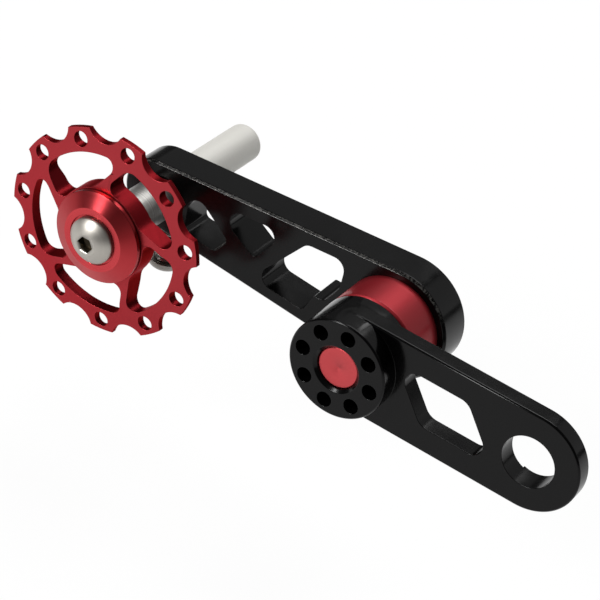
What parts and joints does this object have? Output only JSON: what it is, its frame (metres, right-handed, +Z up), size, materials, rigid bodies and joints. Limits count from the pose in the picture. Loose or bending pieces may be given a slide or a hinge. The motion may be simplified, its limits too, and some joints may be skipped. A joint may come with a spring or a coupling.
{
  "type": "chain guide",
  "caption": "Sprung bicycle chain guide: a hanger arm, a spring-loaded truss arm on a pivot and a toothed pulley on a sliding shaft that keeps the chain tight.",
  "frame": {"origin": "axis of the bore that bolts to the frame's hanger, on the front face of the hanger plate", "axes": "+X along the arms, away from the pulley; +Y along the bore and every pivot, away from the chain side; +Z up"},
  "size_m": [0.1236, 0.0542, 0.0428],
  "materials": {
    "black_anodised": "gloss black anodised",
    "red_anodised": "satin red anodised, turned",
    "satin_silver": "satin",
    "stainless": "polished",
    "bronze": "turned",
    "spring_steel": "drawn wire",
    "bearing_steel": "ground",
    "nylon": "moulded",
    "seal_rubber": "moulded"
  },
  "bodies": {
    "hanger": {"hanger_arm": "black_anodised", "pivot_pin": "red_anodised", "thrust_washer": "nylon", "pivot_washer": "stainless", "pivot_screw": "stainless"},
    "arm": {"main_arm": "black_anodised", "pivot_bush": "bronze", "spring_barrel": "red_anodised", "torsion_spring": "spring_steel", "clamp_screw": "stainless"},
    "shaft": {"pulley_shaft": "satin_silver", "rear_cap": "red_anodised", "front_cap": "red_anodised", "bearing_inner_ring": "bearing_steel", "wheel_screw": "stainless"},
    "wheel": {"jockey_wheel": "red_anodised", "bearing_outer_ring": "bearing_steel", "bearing_seal_front": "seal_rubber", "bearing_seal_rear": "seal_rubber"},
    "cage": {"bearing_balls": "bearing_steel", "bearing_cage": "nylon"}
  },
  "joints": [
    {"name": "arm_pivot", "type": "hinge", "parent": "hanger", "child": "arm", "pos_m": [-0.0382, 0.01, 0], "axis": [0, 1, 0], "range_deg": [-30, 120], "stiffness_Nm_per_rad": 0.6, "deforming": ["torsion_spring"]},
    {"name": "shaft_slide", "type": "slide", "parent": "arm", "child": "shaft", "axis": [0, 1, 0], "range_m": [-0.02, 0]},
    {"name": "wheel_spin", "type": "hinge", "parent": "shaft", "child": "wheel", "pos_m": [-0.0921, -0.0017, 0], "axis": [0, 1, 0], "continuous": true},
    {"name": "cage_spin", "type": "hinge", "parent": "shaft", "child": "cage", "pos_m": [-0.0921, -0.0017, 0], "axis": [0, 1, 0], "continuous": true}
  ],
  "couplings": [
    {"joint": "cage_spin", "follows": "wheel_spin", "ratio": 0.6111}
  ]
}
